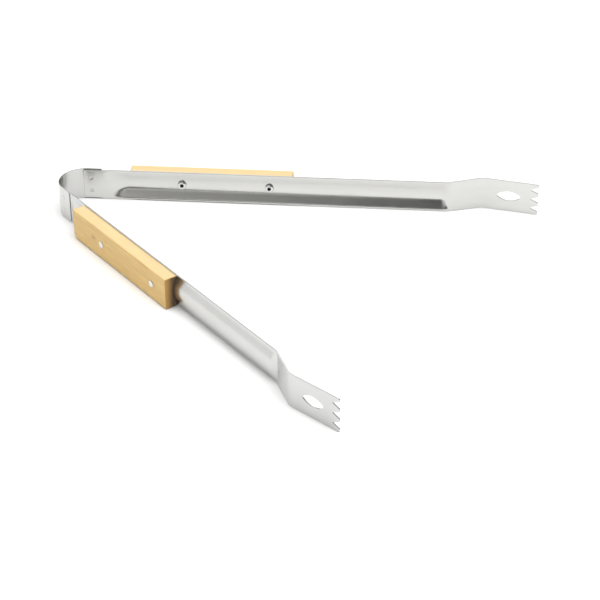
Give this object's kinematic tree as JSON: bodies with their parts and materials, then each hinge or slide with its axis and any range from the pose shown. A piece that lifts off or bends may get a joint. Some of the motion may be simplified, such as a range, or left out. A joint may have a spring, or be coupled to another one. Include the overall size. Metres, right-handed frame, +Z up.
{
  "type": "spring tongs",
  "caption": "Sprung kitchen tongs: pressed steel gutter arms with riveted wooden handle scales, a bent strip bow and toothed blades with an eye-shaped hole, standing open on their edges.",
  "frame": {"origin": "bottom centre of the bounding box, on the table under the middle of the tongs, on their centre plane", "axes": "+X along the centre line from the bow to the teeth, +Y to the left arm, +Z up across the strip width"},
  "size_m": [0.316, 0.3132, 0.025],
  "materials": {
    "spring_strip": "bright rolled strip, lightly brushed",
    "arm_sheet": "polished sheet with fine lengthwise brushing",
    "scale_wood": "pale hardwood, lightly oiled, satin",
    "rivet": "bright plated",
    "weld": "pressed spot weld, slightly dull"
  },
  "bodies": {
    "bow": {"bow_spring": "spring_strip"},
    "left_half": {"left_spring_leg": "spring_strip", "left_arm": "arm_sheet", "left_handle_scale": "scale_wood", "left_rear_rivet": "rivet", "left_front_rivet": "rivet", "left_spot_welds": "weld"},
    "right_half": {"right_spring_leg": "spring_strip", "right_arm": "arm_sheet", "right_handle_scale": "scale_wood", "right_rear_rivet": "rivet", "right_front_rivet": "rivet", "right_spot_welds": "weld"}
  },
  "joints": [
    {"name": "left_squeeze", "type": "hinge", "parent": "bow", "child": "left_half", "pos_m": [-0.15572, 0.00834, 0.0125], "axis": [0, 0, -1], "range_deg": [-3, 26.4], "stiffness_Nm_per_rad": 4},
    {"name": "right_squeeze", "type": "hinge", "parent": "bow", "child": "right_half", "pos_m": [-0.15572, -0.00834, 0.0125], "axis": [0, 0, 1], "range_deg": [-3, 26.4], "stiffness_Nm_per_rad": 4}
  ]
}
